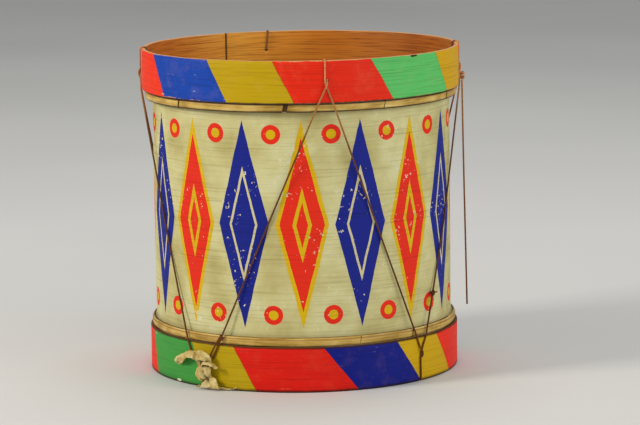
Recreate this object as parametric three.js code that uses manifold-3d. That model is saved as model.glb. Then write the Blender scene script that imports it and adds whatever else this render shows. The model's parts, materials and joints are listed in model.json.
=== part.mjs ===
// Toy drum: a bent-wood shell between two skin heads, drawn tight by one laced cord.
// Millimetres and degrees. +Z runs up the drum's axis, the origin is the centre of the base,
// and angles are counted from the front (-Y) towards +X.
import * as THREE from 'three';
import { mergeVertices } from 'three/addons/utils/BufferGeometryUtils.js';
import Module from 'manifold-3d';

const wasm = await Module();
wasm.setup();

// Clearances and facets
const slip = 0.3; // gap between pieces that touch or slide
const facets = 72; // facets round each ring
const cutterOverrun = 1; // how far a cutter stands out of what it cuts

// Shell
const shellRadius = 133.6;
const shellThickness = 3.2;
const shellLength = 221.6;
const shellSeam = 172;
const scarfLength = 26; // tapered lap where a bent strip's ends meet
const featherEdge = 0.5; // thickness left at the thin end of that taper

// Heads and the flesh hoops that their skins are tucked round
const skinThickness = 0.5;
const fleshHeight = 6.2;
const fleshCorner = 0.9;
const topFleshThickness = 4.7;
const bottomFleshThickness = 2.2;

// Counter hoops
const lathThickness = 3.7;
const topHoopHeight = 37;
const bottomHoopHeight = 39.8;
const topBearing = 1.5; // width of the lath that bears on the tucked skin
const bottomBearing = 2.2;
const hoopLap = 4.2; // how far a counter hoop laps past the end of the shell
const topSeam = 198;
const bottomSeam = 150;
const rimGroove = 0.8; // depth of the groove that the cord wears in the top rim

// Tacks along the seams
const tackHeadRadius = 2;
const tackHeadHeight = 1.1;
const tackShankRadius = 0.55;
const tackCover = 0.9; // wood left between a tack's point and the inside
const tackInset = 0.3; // how far along the taper the tacks stand, as a share of it
const shellTackEdge = 14; // from the tucked skin to the shell's first tack
const shellTacks = 5;
const hoopTackEdge = 9; // from the edge of a counter hoop to its first tack
const hoopTacks = 2;

// Lacing
const cordRadius = 0.85;
const cordSides = 8;
const topPoints = [8.6, 94.5, 192.7, 272.5];
const bottomPoints = [47, 140.5, 230];
const tiePoint = 319.7; // the bottom hole that the hide tie takes in place of a cord loop
const topHoleInset = 17.5; // from the rim to the centre of its lacing holes
const bottomHoleInset = 21.3;
const holeSide = 0.9; // from the lacing point sideways to its hole
const stemSide = 1.5; // from the lacing point sideways to the cord's stem, beside the hole
const rimSide = 0.8; // from the lacing point sideways to where the cord crosses the rim
const crossGap = 0.6; // gap between the two strands where one passes over the other
const crossDrop = 4.6; // from the hole down to that crossing
const fanDrop = 10; // from the hole down to where the two strands lie flat again
const fanSide = 2.2; // how far each strand has moved sideways there
const wrapStep = 4; // degrees between points where a strand bends round the shell

// Hanging end of the cord
const tailLength = 206;
const tailSteps = 40;
const tailSway = 1.2;
const tailLean = 3; // how far the end hangs out from below the knot
const tailKnot = { halfWidth: 3, halfHeight: 3.8, drop: 13.5 }; // drop is from the hole down to its middle

// Hide tie at the lower left lacing point
const tieSides = 12;
const tieKnot = { angle: 320.3, height: 28, halfWidth: 8, halfHeight: 5, halfDepth: 3.6 };
const tieEar = { angle: 316.8, height: 28.2, lean: 118, length: 24, radius: 2.7 };
const tieTail = { angle: 323.2, foot: 0.6, flare: 9, bulge: 7.6, waist: 4.6, neck: 3.4, depthShare: 0.45 };
const earTaper = [[0, 0], [0.7, 0.08], [0.8, 0.3], [1, 0.65], [0.75, 0.9], [0, 1]]; // of radius, length
const leftEnd = { angle: 314.6, height: 31 };
const rightEnd = { angle: 325, height: 26.6 };

// Sizes that follow from those above
const collarInner = shellRadius + slip;
const collarOuter = collarInner + skinThickness;
const fleshInner = collarOuter + slip;
const tuckHeight = fleshHeight + 2 * (slip + skinThickness);
const cordReach = slip + cordRadius; // from a surface to the axis of a cord lying on it
const holeRadius = cordRadius + 2 * slip;
const grooveWidth = 2 * (cordRadius + 2 * slip);
const cordFlush = 2 * cordReach; // depth of groove that lets the cord pass inside the base
const shellBase = bottomHoopHeight - hoopLap;
const shellTop = shellBase + shellLength;
const topHoopBase = shellTop - hoopLap;

// One set of sizes for each counter hoop; up points from the hole to the rim
function hoopSizes(up, edge, height, fleshThickness, bearing, groove, holeInset) {
  const tuckOuter = fleshInner + fleshThickness + slip + skinThickness;
  const inner = tuckOuter - bearing;
  const rim = edge + up * height;
  return {
    up, edge, height, rim, tuckOuter, inner, groove, holeInset,
    outer: inner + lathThickness,
    fleshOuter: fleshInner + fleshThickness,
    base: Math.min(edge, rim),
    hole: rim - up * holeInset,
    tuckBase: up > 0 ? edge - slip - tuckHeight : edge + slip,
  };
}
const top = hoopSizes(
  1, topHoopBase, topHoopHeight, topFleshThickness, topBearing, rimGroove, topHoleInset,
);
const bottom = hoopSizes(
  -1, bottomHoopHeight, bottomHoopHeight, bottomFleshThickness, bottomBearing, cordFlush, bottomHoleInset,
);

// Materials
function finish(color, roughness, metalness = 0) {
  return new THREE.MeshStandardMaterial({ color, roughness, metalness });
}
const finishes = {
  paintedShell: () => finish(0xc4bd88, 0.6),
  paintedLath: () => finish(0xd6301a, 0.55),
  bareWood: () => finish(0xb88a4e, 0.7),
  skin: () => finish(0xd8c08c, 0.65),
  iron: () => finish(0x4a4440, 0.5, 0.8),
  twine: () => finish(0x9a6530, 0.85),
  hide: () => finish(0xcdb97d, 0.75),
};

const drum = new THREE.Group();
function place(name, geometry, look) {
  const mesh = new THREE.Mesh(geometry, finishes[look]());
  mesh.name = name;
  drum.add(mesh);
  return mesh;
}

// Points round the axis
function around(angle, radius, height, side = 0) {
  const a = THREE.MathUtils.degToRad(angle);
  return new THREE.Vector3(
    radius * Math.sin(a) + side * Math.cos(a),
    -radius * Math.cos(a) + side * Math.sin(a),
    height,
  );
}
function setOut(mesh, angle, radius, height, side = 0) {
  mesh.position.copy(around(angle, radius, height, side));
  mesh.rotation.z = THREE.MathUtils.degToRad(angle);
  return mesh;
}

// A ring turned about the drum's axis from a section of [radius, height] points
function ring(section) {
  const points = section.map(([radius, height]) => new THREE.Vector2(radius, height));
  return new THREE.LatheGeometry(points, facets).rotateX(Math.PI / 2);
}
function closedRing(section) {
  return ring([...section, section[0]]);
}

// Solids for cutting
function solidOf(mesh) {
  mesh.updateMatrix();
  const bare = mesh.geometry.clone().applyMatrix4(mesh.matrix);
  bare.deleteAttribute('normal');
  bare.deleteAttribute('uv');
  const merged = mergeVertices(bare, 1e-4);
  return new wasm.Manifold(new wasm.Mesh({
    numProp: 3,
    vertProperties: merged.attributes.position.array,
    triVerts: new Uint32Array(merged.index.array),
  }));
}
function cut(geometry, cutters) {
  let solid = solidOf(new THREE.Mesh(geometry));
  for (const cutter of cutters) {
    solid = solid.subtract(solidOf(cutter));
  }
  const { vertProperties, triVerts } = solid.getMesh();
  const made = new THREE.BufferGeometry();
  made.setAttribute('position', new THREE.BufferAttribute(vertProperties, 3));
  made.setIndex(new THREE.BufferAttribute(triVerts, 1));
  made.computeVertexNormals();
  return made;
}

// Points of an arc, on the same facets as every ring, in the plane of the rings
function arc(radius, from, to) {
  const step = 360 / facets;
  const points = [around(from, radius, 0)];
  for (let k = Math.floor(from / step) + 1; k * step < to; k += 1) {
    points.push(around(k * step, radius, 0));
  }
  points.push(around(to, radius, 0));
  return points.map((point) => new THREE.Vector2(point.x, point.y));
}

// A strip of wood bent into a ring, with its tapered ends lapped at the seam
function scarf(outer, thickness) {
  const taper = THREE.MathUtils.radToDeg(scarfLength / outer);
  const open = taper * (featherEdge + slip) / (thickness - featherEdge);
  return { taper, open };
}
function bentStrip(outer, thickness, height, seam) {
  const { taper, open } = scarf(outer, thickness);
  const inner = outer - thickness;
  const start = seam + open;
  const end = seam + 360;
  const outline = [
    ...arc(outer, start, end),
    ...arc(inner + featherEdge, end + taper, end + taper).slice(1),
    ...arc(inner, start + taper, end + taper).reverse(),
    ...arc(outer - featherEdge, start, start).slice(1),
  ];
  return new THREE.ExtrudeGeometry(new THREE.Shape(outline), { depth: height, bevelEnabled: false });
}

// Tacks driven in through a seam: their places, their holes and the tacks themselves
function tackPlaces(outer, thickness, seam, lowest, highest, count) {
  const { taper, open } = scarf(outer, thickness);
  const spacing = (highest - lowest) / (count - 1);
  const angle = seam + open + taper * tackInset;
  return Array.from({ length: count }, (_, k) => ({ angle, radius: outer, height: lowest + k * spacing }));
}
function tackHole(spot, thickness) {
  const depth = thickness - tackCover + slip;
  const bore = tackShankRadius + slip;
  const drill = new THREE.CylinderGeometry(bore, bore, depth + cutterOverrun, cordSides);
  return setOut(new THREE.Mesh(drill), spot.angle, spot.radius + (cutterOverrun - depth) / 2, spot.height);
}
function placeTack(name, spot, thickness) {
  const point = thickness - tackCover;
  const crown = slip + tackHeadHeight;
  const profile = [
    [0, -crown], [tackHeadRadius * 0.6, -slip - tackHeadHeight * 0.8], [tackHeadRadius, -slip],
    [tackShankRadius, -slip], [tackShankRadius, point - tackShankRadius], [0, point],
  ].map(([radius, depth]) => new THREE.Vector2(radius, depth));
  const tack = place(name, new THREE.LatheGeometry(profile, cordSides), 'iron');
  setOut(tack, spot.angle, spot.radius, spot.height);
}

// Shell
const shellSpots = tackPlaces(
  shellRadius, shellThickness, shellSeam,
  bottom.tuckBase + tuckHeight + shellTackEdge, top.tuckBase - shellTackEdge, shellTacks,
);
const shellStrip = bentStrip(shellRadius, shellThickness, shellLength, shellSeam).translate(0, 0, shellBase);
place('shell', cut(shellStrip, shellSpots.map((spot) => tackHole(spot, shellThickness))), 'paintedShell');
shellSpots.forEach((spot, k) => placeTack(`shell_tack_${k + 1}`, spot, shellThickness));

// Heads: a skin across the shell's end, with a collar that runs down inside its flesh hoop
const batterUnder = shellTop + slip;
place('batter_head', ring([
  [0, batterUnder], [collarInner, batterUnder], [collarInner, top.tuckBase],
  [collarOuter, top.tuckBase], [collarOuter, batterUnder + skinThickness], [0, batterUnder + skinThickness],
]), 'skin');
const resonantOver = shellBase - slip;
const resonantSkirt = bottom.tuckBase + tuckHeight;
place('resonant_head', ring([
  [0, resonantOver - skinThickness], [collarOuter, resonantOver - skinThickness],
  [collarOuter, resonantSkirt], [collarInner, resonantSkirt], [collarInner, resonantOver], [0, resonantOver],
]), 'skin');

// Flesh hoops, and the edges of the skins tucked round them
function softSide(inner, outer, base, height, corner) {
  return [
    [inner, base], [outer - corner, base], [outer, base + corner],
    [outer, base + height - corner], [outer - corner, base + height], [inner, base + height],
  ];
}
const cornerGrowth = 2 - Math.SQRT2; // how a corner cut at 45 degrees grows with an even offset
function placeFleshHoop(hoopName, tuckName, hoop) {
  const lining = slip + skinThickness;
  const wood = softSide(fleshInner, hoop.fleshOuter, hoop.tuckBase + lining, fleshHeight, fleshCorner);
  const within = softSide(
    fleshInner, hoop.fleshOuter + slip, hoop.tuckBase + skinThickness,
    fleshHeight + 2 * slip, fleshCorner + cornerGrowth * slip,
  );
  const outside = softSide(
    fleshInner, hoop.tuckOuter, hoop.tuckBase, tuckHeight, fleshCorner + cornerGrowth * lining,
  );
  place(hoopName, closedRing(wood), 'bareWood');
  place(tuckName, closedRing([...outside, ...within.reverse()]), 'skin');
}
placeFleshHoop('top_flesh_hoop', 'batter_head_tuck', top);
placeFleshHoop('bottom_flesh_hoop', 'resonant_head_tuck', bottom);

// Counter hoops, with a hole and a rim groove at each lacing point
function lacingCuts(hoop, angle) {
  const middle = (hoop.inner + hoop.outer) / 2;
  const through = lathThickness + 2 * cutterOverrun;
  const hole = new THREE.CylinderGeometry(holeRadius, holeRadius, through, tieSides);
  const groove = new THREE.BoxGeometry(grooveWidth, through, 2 * hoop.groove);
  return [
    setOut(new THREE.Mesh(hole), angle, middle, hoop.hole, holeSide),
    setOut(new THREE.Mesh(groove), angle, middle, hoop.rim, -rimSide),
  ];
}
function placeCounterHoop(name, tackName, hoop, seam, points) {
  const spots = tackPlaces(
    hoop.outer, lathThickness, seam,
    hoop.base + hoopTackEdge, hoop.base + hoop.height - hoopTackEdge, hoopTacks,
  );
  const strip = bentStrip(hoop.outer, lathThickness, hoop.height, seam).translate(0, 0, hoop.base);
  const cutters = [
    ...spots.map((spot) => tackHole(spot, lathThickness)),
    ...points.flatMap((angle) => lacingCuts(hoop, angle)),
  ];
  place(name, cut(strip, cutters), 'paintedLath');
  spots.forEach((spot, k) => placeTack(`${tackName}_${k + 1}`, spot, lathThickness));
}
placeCounterHoop('top_counter_hoop', 'top_hoop_tack', top, topSeam, topPoints);
placeCounterHoop('bottom_counter_hoop', 'bottom_hoop_tack', bottom, bottomSeam, [...bottomPoints, tiePoint]);

// A path that is followed point by point, fine in the bends and coarse along the straights
class Route extends THREE.Curve {
  constructor(points) {
    super();
    this.points = points;
  }

  getPoint(t, target = new THREE.Vector3()) {
    const last = this.points.length - 1;
    const k = Math.min(Math.floor(t * last), last - 1);
    return target.lerpVectors(this.points[k], this.points[k + 1], t * last - k);
  }

  getPointAt(u, target) {
    return this.getPoint(u, target);
  }

  getTangentAt(u, target = new THREE.Vector3()) {
    const last = this.points.length - 1;
    const k = Math.round(u * last);
    const here = this.points[k];
    const ahead = this.points[Math.min(k + 1, last)].clone().sub(here).normalize();
    const behind = here.clone().sub(this.points[Math.max(k - 1, 0)]).normalize();
    return target.addVectors(ahead, behind).normalize();
  }
}
function cord(points) {
  const section = Array.from({ length: cordSides }, (_, k) => {
    const turn = 2 * Math.PI * (k + 0.5) / cordSides;
    return new THREE.Vector2(cordRadius * Math.cos(turn), cordRadius * Math.sin(turn));
  });
  return new THREE.ExtrudeGeometry(new THREE.Shape(section), {
    steps: points.length - 1, extrudePath: new Route(points),
  });
}

// One lacing point: up the outside as a stem, over the rim, down inside, out of the hole
// and across the strand that came
function lacingLoop(hoop, angle) {
  const out = hoop.outer + cordReach;
  const inside = hoop.inner - cordReach;
  const over = hoop.holeInset - hoop.groove + cordReach;
  const bend = cordReach;
  const round = bend * (1 - Math.SQRT1_2);
  const proud = out + 2 * cordRadius + crossGap;
  const at = (side, radius, rise) => around(angle, radius, hoop.hole + hoop.up * rise, side);
  return [
    at(fanSide, out, -fanDrop),
    at(stemSide * 0.7, out, -crossDrop * 1.3),
    at(-stemSide * 0.5, out, -crossDrop * 0.65),
    at(-stemSide, out, 0),
    at(-rimSide, out, over - bend),
    at(-rimSide, out - round, over - round),
    at(-rimSide, out - bend, over),
    at(-rimSide, inside + bend, over),
    at(-rimSide, inside + round, over - round),
    at(-rimSide, inside, over - bend),
    at(holeSide, inside, bend),
    at(holeSide, inside + round, round),
    at(holeSide, inside + bend, 0),
    at(holeSide, hoop.outer, 0),
    at(holeSide, out + cordRadius, -cordRadius * 0.4),
    at(holeSide * 0.85, proud - cordRadius * 0.6, -cordRadius * 1.7),
    at(holeSide * 0.55, proud, -crossDrop * 0.65),
    at(-holeSide * 0.65, proud, -crossDrop * 1.35),
    at(-fanSide * 0.75, (out + proud) / 2, -fanDrop * 0.85),
    at(-fanSide, out, -fanDrop),
  ];
}

// The stretch between two hoop edges: straight, or bent round the shell where it touches
function tautRun(from, to) {
  const contact = shellRadius + cordReach;
  const start = around(from.angle, from.radius, from.height);
  const end = around(to.angle, to.radius, to.height);
  const lead = Math.acos(contact / from.radius);
  const trail = Math.acos(contact / to.radius);
  const turn = THREE.MathUtils.degToRad(to.angle - from.angle);
  const wrap = Math.abs(turn) - lead - trail;
  if (wrap <= 0) {
    return [start, end];
  }
  const leadIn = from.radius * Math.sin(lead);
  const leadOut = to.radius * Math.sin(trail);
  const fall = (to.height - from.height) / (leadIn + contact * wrap + leadOut);
  const count = Math.ceil(THREE.MathUtils.radToDeg(wrap) / wrapStep);
  const bends = Array.from({ length: count + 1 }, (_, k) => {
    const swept = wrap * k / count;
    const angle = from.angle + THREE.MathUtils.radToDeg(Math.sign(turn) * (lead + swept));
    return around(angle, contact, from.height + fall * (leadIn + contact * swept));
  });
  return [start, ...bends, end];
}
function strand(fromHoop, from, toHoop, to) {
  const slope = (to.angle - from.angle) / (to.height - from.height);
  const edgeOf = (hoop) => ({
    angle: from.angle + slope * (hoop.edge - from.height),
    radius: hoop.outer + cordReach,
    height: hoop.edge,
  });
  return tautRun(edgeOf(fromHoop), edgeOf(toHoop));
}

// The whole lacing, from the hide tie round the drum and back to it, clockwise from above
const crossingOf = (hoop, angle) => ({ angle, height: hoop.hole - hoop.up * crossDrop });
const stops = [
  { hoop: bottom, ...leftEnd, loop: false },
  ...[0, 1, 2].flatMap((k) => [
    { hoop: top, ...crossingOf(top, topPoints[3 - k]), loop: true },
    { hoop: bottom, ...crossingOf(bottom, bottomPoints[2 - k]), loop: true },
  ]),
  { hoop: top, ...crossingOf(top, topPoints[0]), loop: true },
  { hoop: bottom, ...rightEnd, angle: rightEnd.angle - 360, loop: false },
];
const lacing = stops.flatMap((stop, k) => {
  const here = stop.loop
    ? lacingLoop(stop.hoop, stop.angle)
    : [around(stop.angle, stop.hoop.outer + cordReach, stop.height)];
  const next = stops[k + 1];
  return next ? [...here, ...strand(stop.hoop, stop, next.hoop, next)] : here;
});
place('tension_cord', cord(lacing), 'twine');

// The cord's spare end, knotted at the right-hand lacing point and hanging free
const tailAngle = topPoints[1];
const tailRadius = top.outer + cordReach + tailKnot.halfWidth;
const knotHeight = top.hole - tailKnot.drop;
const tailKnotBody = new THREE.SphereGeometry(1, cordSides, cordSides).rotateX(Math.PI / 2);
tailKnotBody.scale(tailKnot.halfWidth, tailKnot.halfWidth, tailKnot.halfHeight);
setOut(place('cord_tail_knot', tailKnotBody, 'twine'), tailAngle, tailRadius, knotHeight);
const tailTop = knotHeight - tailKnot.halfHeight - slip;
const tail = Array.from({ length: tailSteps + 1 }, (_, k) => {
  const share = k / tailSteps;
  const sway = tailSway * Math.sin(Math.PI * 1.5 * share);
  return around(tailAngle, tailRadius + tailLean * share, tailTop - tailLength * share, sway);
});
place('cord_tail', cord(tail), 'twine');

// Hide tie: a wrung knot against the hoop, a short ear and a hanging end
function wrung(profile) {
  const points = profile.map(([radius, along]) => new THREE.Vector2(radius, along));
  return new THREE.LatheGeometry(points, tieSides);
}
const knotBody = new THREE.SphereGeometry(1, tieSides, cordSides);
knotBody.scale(tieKnot.halfWidth, tieKnot.halfDepth, tieKnot.halfHeight);
setOut(
  place('hide_tie_knot', knotBody, 'hide'),
  tieKnot.angle, bottom.outer + slip + tieKnot.halfDepth, tieKnot.height,
);
const earBody = wrung(earTaper.map(([wide, along]) => [tieEar.radius * wide, tieEar.length * along]));
const earLean = THREE.MathUtils.degToRad(tieEar.lean);
earBody.rotateX(Math.PI / 2).rotateY(-earLean);
// The ear is straight and the hoop round, so it is set by its widest point
const [, bellyShare] = earTaper.find(([wide]) => wide === 1);
const bellySide = tieEar.length * bellyShare * Math.sin(earLean);
const bellyRadius = bottom.outer + slip + tieEar.radius;
const earRadius = Math.sqrt(bellyRadius ** 2 - bellySide ** 2);
setOut(place('hide_tie_ear', earBody, 'hide'), tieEar.angle, earRadius, tieEar.height);
const tailHang = tieKnot.height - tieKnot.halfHeight - slip - tieTail.foot;
const tailBody = wrung([
  [0, 0], [tieTail.flare, 0], [tieTail.flare * 0.85, tailHang * 0.16],
  [tieTail.waist, tailHang * 0.36], [tieTail.bulge, tailHang * 0.62],
  [tieTail.bulge * 0.9, tailHang * 0.8], [tieTail.neck, tailHang], [0, tailHang],
]).rotateX(Math.PI / 2).scale(1, tieTail.depthShare, 1);
setOut(
  place('hide_tie_tail', tailBody, 'hide'),
  tieTail.angle, bottom.outer + slip + tieTail.flare * tieTail.depthShare, tieTail.foot,
);

export default drum;
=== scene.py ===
import json
import math
from functools import partial

import bmesh
import bpy
import numpy as np
from mathutils import Matrix, Vector, noise

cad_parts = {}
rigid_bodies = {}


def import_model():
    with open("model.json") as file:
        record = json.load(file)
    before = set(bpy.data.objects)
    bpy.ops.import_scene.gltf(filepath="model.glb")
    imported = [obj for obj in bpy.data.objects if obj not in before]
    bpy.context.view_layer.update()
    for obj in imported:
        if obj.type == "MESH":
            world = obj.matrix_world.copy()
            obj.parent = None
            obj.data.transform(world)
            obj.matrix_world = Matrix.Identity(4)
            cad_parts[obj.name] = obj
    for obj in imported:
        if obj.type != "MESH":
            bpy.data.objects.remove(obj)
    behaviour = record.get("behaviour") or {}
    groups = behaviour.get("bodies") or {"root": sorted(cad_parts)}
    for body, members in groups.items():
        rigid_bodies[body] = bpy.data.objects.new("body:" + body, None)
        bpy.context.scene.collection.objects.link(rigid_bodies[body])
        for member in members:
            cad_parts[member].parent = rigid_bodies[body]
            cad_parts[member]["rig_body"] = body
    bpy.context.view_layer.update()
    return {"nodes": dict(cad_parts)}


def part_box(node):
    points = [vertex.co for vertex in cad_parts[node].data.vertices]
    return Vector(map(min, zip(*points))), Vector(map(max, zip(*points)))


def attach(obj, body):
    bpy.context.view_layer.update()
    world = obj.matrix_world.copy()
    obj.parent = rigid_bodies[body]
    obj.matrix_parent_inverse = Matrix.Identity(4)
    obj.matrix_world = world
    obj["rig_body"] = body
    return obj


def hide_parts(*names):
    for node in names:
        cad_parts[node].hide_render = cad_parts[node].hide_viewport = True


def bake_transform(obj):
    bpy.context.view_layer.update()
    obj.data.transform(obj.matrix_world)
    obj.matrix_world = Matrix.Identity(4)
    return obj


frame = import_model()
mm = 0.001
print("frame loaded:", len(frame["nodes"]), "nodes")


# Small helpers; lengths are millimetres until a mesh is made

def ringSize(node):
    low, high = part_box(node)  # outer radius, lowest and highest point of a round node
    return high.x / mm, low.z / mm, high.z / mm


def around(angle, radius, height, side=0.0):
    a = math.radians(angle)  # counted from the front towards +X
    x = radius * math.sin(a) + side * math.cos(a)
    y = -radius * math.cos(a) + side * math.sin(a)
    return np.array((x, y, height))


def wander(seed, x, y=0.0, z=0.0):
    # smooth noise, a different stretch of it for each seed
    return noise.noise(Vector((x + seed * 7.31, y - seed * 3.17, z + seed * 1.73)))


def per(size):
    return 1 / mm / size  # scale of a pattern whose features have this size


def linear(hexColour):
    channels = [int(hexColour[k:k + 2], 16) / 255 for k in (1, 3, 5)]
    return (*[c / 12.92 if c <= 0.04045 else ((c + 0.055) / 1.055) ** 2.4 for c in channels], 1.0)


def addNode(tree, kind, *inputs, out=0, stops=None, **settings):
    # kind may carry an operation, as in Math.ADD; inputs stand in socket order, or in dictionaries
    # by socket; text among them is a hex colour
    kind, _, operation = kind.partition(".")
    node = tree.nodes.new("ShaderNode" + kind)
    if operation:
        node.operation = operation
    for key, value in settings.items():
        setattr(node, key, value)
    sockets = dict(enumerate(x for x in inputs if not isinstance(x, dict)))
    for named in inputs:
        sockets.update(named if isinstance(named, dict) else {})
    for key, value in sockets.items():
        if isinstance(value, bpy.types.NodeSocket):
            tree.links.new(value, node.inputs[key])
        else:
            node.inputs[key].default_value = linear(value) if isinstance(value, str) else value
    if stops:
        elements = node.color_ramp.elements
        elements.remove(elements[1])
        elements[0].position, elements[0].color = stops[0][0], linear(stops[0][1])
        for place, colour in stops[1:]:
            elements.new(place).color = linear(colour)
    return node.outputs[out] if node.outputs else None


# Mixing two colours: socket 0 is the share, 6 the colour below and 7 the one laid over it
colourMix = {"out": 2, "data_type": "RGBA"}


def newFinish(name):
    finish = bpy.data.materials.new(name)
    finish.use_nodes = True
    finish.node_tree.nodes.clear()
    add = partial(addNode, finish.node_tree)
    return finish, add, add("TexCoord", out="Object")


def coat(add, sockets, height=None, relief=0.0):
    # closes a material: the height pattern becomes a bump of the given depth in mm
    if height is not None:
        sockets["Normal"] = add("Bump", {"Height": height, "Distance": relief * mm})
    add("OutputMaterial", add("BsdfPrincipled", sockets))


def addPiece(name, points, faces, finishes, faceFinish=None, sharp=38):
    mesh = bpy.data.meshes.new(name)
    mesh.from_pydata([tuple(p) for p in np.asarray(points, float) * mm], [], faces)
    for finish in finishes:
        mesh.materials.append(finish)
    if faceFinish is not None:
        mesh.polygons.foreach_set("material_index", faceFinish)
    shape = bmesh.new()
    shape.from_mesh(mesh)
    bmesh.ops.recalc_face_normals(shape, faces=shape.faces)
    shape.to_mesh(mesh)
    shape.free()
    mesh.polygons.foreach_set("use_smooth", [True] * len(mesh.polygons))
    mesh.set_sharp_from_angle(angle=math.radians(sharp))
    piece = bpy.data.objects.new(name, mesh)
    bpy.context.scene.collection.objects.link(piece)
    return piece


def loft(rings, closed=False):
    # quads between rings of points, each ring closed on itself, with end caps unless the row is closed
    count, across = len(rings), len(rings[0])
    faces = []
    for k in range(count if closed else count - 1):
        here, there = k * across, (k + 1) % count * across
        for j in range(across):
            following = (j + 1) % across
            faces.append((here + j, here + following, there + following, there + j))
    if not closed:
        faces.append(tuple(range(across)))
        faces.append(tuple(range((count - 1) * across, count * across)))
    return np.concatenate([np.asarray(ring, float) for ring in rings]), faces


def joined(lofts):
    # several lofts as the points and faces of one mesh
    points, faces, count = [], [], 0
    for more, sides in lofts:
        points.append(more)
        faces += [tuple(v + count for v in face) for face in sides]
        count += len(more)
    return np.concatenate(points), faces


def fit(piece, body, slot, *nodes):
    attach(piece, body)
    if nodes:
        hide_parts(*nodes)
    return piece


# Camera, where the photograph was taken from

cameraSettings = {
    "place": (-8.24, -2779.35, 561.41),
    "yaw": 0.4974,  # degrees to the right of +Y
    "pitch": 8.6798,  # degrees down
    "roll": -0.8246,
    "lens": 174.525,
    "sensor": 36,  # width of the frame behind that lens
    "clipEnd": 50,  # metres
}


def makeCamera(settings):
    yaw, pitch, roll = (math.radians(settings[key]) for key in ("yaw", "pitch", "roll"))
    ahead = Vector((math.sin(yaw) * math.cos(pitch), math.cos(yaw) * math.cos(pitch), -math.sin(pitch)))
    level = Vector((math.cos(yaw), -math.sin(yaw), 0))
    upright = level.cross(ahead)
    right = math.cos(roll) * level + math.sin(roll) * upright
    up = math.cos(roll) * upright - math.sin(roll) * level
    data = bpy.data.cameras.new("camera")
    data.lens = settings["lens"]
    data.sensor_width = settings["sensor"]
    data.clip_end = settings["clipEnd"]
    camera = bpy.data.objects.new("camera", data)
    turn = Matrix((right, up, -ahead)).transposed().to_4x4()
    camera.matrix_world = Matrix.Translation(Vector(settings["place"]) * mm) @ turn
    bpy.context.scene.collection.objects.link(camera)
    bpy.context.scene.camera = camera


makeCamera(cameraSettings)


# Twine: three plies twisted together, swept along a path

twineSettings = {
    "radius": 0.85,
    "plies": 3,
    "pitch": 6.5,  # length of one full twist
    "dip": 0.2,  # depth of the grooves between plies, as a share of the radius
    "sides": 12,
    "step": 0.75,
    "fineStep": 0.5,  # for wraps and short ends
    "askew": (0.31, 0.74, 0.59),  # a direction that no strand follows, which the twist starts from
}


def lengthsAlong(points):
    return np.concatenate(([0], np.cumsum(np.linalg.norm(np.diff(points, axis=0), axis=1))))


def resample(points, step):
    points = np.asarray(points, float)
    along = lengthsAlong(points)
    places = np.linspace(0, along[-1], max(2, round(along[-1] / step) + 1))
    return np.stack([np.interp(places, along, points[:, k]) for k in range(3)], axis=1)


def relax(points, rounds):
    points = points.copy()
    for _ in range(rounds):
        points[1:-1] = points[1:-1] * 0.5 + (points[:-2] + points[2:]) * 0.25
    return points


def twistRings(path, settings, thin=None):
    # thin is a share of the radius at each point, for an end that frays away
    ahead = np.gradient(path, axis=0)
    ahead /= np.linalg.norm(ahead, axis=1)[:, None]
    along = lengthsAlong(path)
    first = np.cross(ahead[0], settings["askew"])
    turns = 2 * math.pi * np.arange(settings["sides"]) / settings["sides"]
    lobes = np.abs(np.cos(settings["plies"] * turns / 2))
    outline = settings["radius"] * (1 - settings["dip"] * (1 - lobes))
    rings = []
    for k, centre in enumerate(path):
        first = first - ahead[k] * (first @ ahead[k])
        first /= np.linalg.norm(first)
        second = np.cross(ahead[k], first)
        lay = 2 * math.pi * along[k] / settings["pitch"]
        reach = outline * (1 if thin is None else thin[k])
        a, b = np.cos(turns + lay) * reach, np.sin(turns + lay) * reach
        rings.append(centre + a[:, None] * first + b[:, None] * second)
    return rings


def makeTwine():
    # aged hemp twine, twisted: pale tan high up, darker brown low down,
    # dry and fibrous
    finish, add, place = newFinish("aged hemp twine")
    hoopRadius, _, tall = ringSize("top_counter_hoop")
    height = add("SeparateXYZ", place, out=2)
    fibre = add("TexNoise", {"Vector": place, "Scale": per(1.1), "Detail": 3})
    patch = add("TexNoise", {"Vector": place, "Scale": per(22), "Detail": 2})
    share = add("Math.MULTIPLY", height, per(tall))
    drift = add("Math.MULTIPLY_ADD", patch, 0.22, -0.11)
    level = add("Math.ADD", share, drift)
    tone = add("ValToRGB", level, stops=[
        (0.0, "#763a10"), (0.16, "#7c4214"), (0.5, "#8c5826"),
        (0.82, "#b27a3e"), (0.93, "#d6945a"), (1.0, "#e89f66"),
    ])

    # Browner where it lies back from the upper hoop's face: inside the hoops and along the shell
    flat = add("VectorMath.MULTIPLY", place, (1, 1, 0))
    fromAxis = add("VectorMath.LENGTH", flat, out="Value")
    back = add("MapRange", fromAxis, (hoopRadius - 1.5) * mm, (hoopRadius - 2.5) * mm, 0.0, 0.75)
    tone = add("Mix", {0: back, 6: tone, 7: "#5e3410"}, **colourMix)
    light = add("ValToRGB", fibre, stops=[(0.3, "#8f8f8f"), (0.7, "#ffffff")])
    colour = add("Mix", {0: 0.75, 6: tone, 7: light}, **colourMix, blend_type="MULTIPLY")
    coat(add, {"Base Color": colour, "Roughness": 0.78, "Specular IOR Level": 0.3}, fibre, 0.12)
    return finish


twine = makeTwine()


# The hanging end of the lacing: a limp free cord below its knot

tailSettings = {
    "angle": 94.5,
    "length": 206.0,
    "steps": 36,
    "sway": 1.2,
    "lean": 3.0,
    "knotWraps": 3.2,
    "knotReach": 1.95,  # from the knot's axis to the middle of its wraps
    "knotClose": 0.12,  # how far the wraps draw in at their ends, as a share of half a turn
    "knotSteps": 90,
}


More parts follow.
